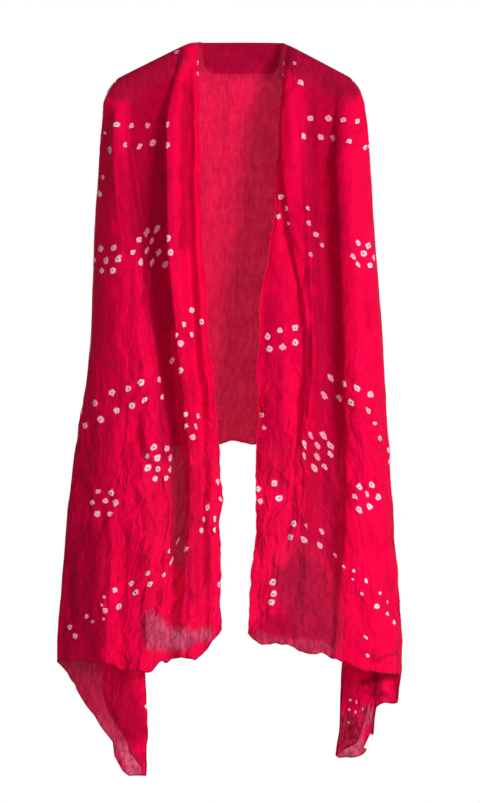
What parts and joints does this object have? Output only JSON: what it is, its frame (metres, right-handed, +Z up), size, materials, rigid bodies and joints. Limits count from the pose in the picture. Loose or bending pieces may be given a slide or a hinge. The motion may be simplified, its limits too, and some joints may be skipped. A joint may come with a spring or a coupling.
{
  "type": "bandhani stole, hung",
  "caption": "A sheer red silk stole with white tie-dots, hung over its shoulders in long front panels with a plain back panel between them and a pointed tail at each side",
  "frame": {"origin": "the middle of the neck fold, on the cloth, where it hangs", "axes": "+Z up, -Y the front that the panels hang on, +X the viewer's right"},
  "size_m": [0.5512, 0.1207, 1.1747],
  "materials": {
    "silk": "sheer crinkled tie-dyed silk",
    "label_tape": "plain woven tape"
  },
  "bodies": {
    "root": {"stole": "silk", "label": "label_tape"}
  },
  "joints": []
}
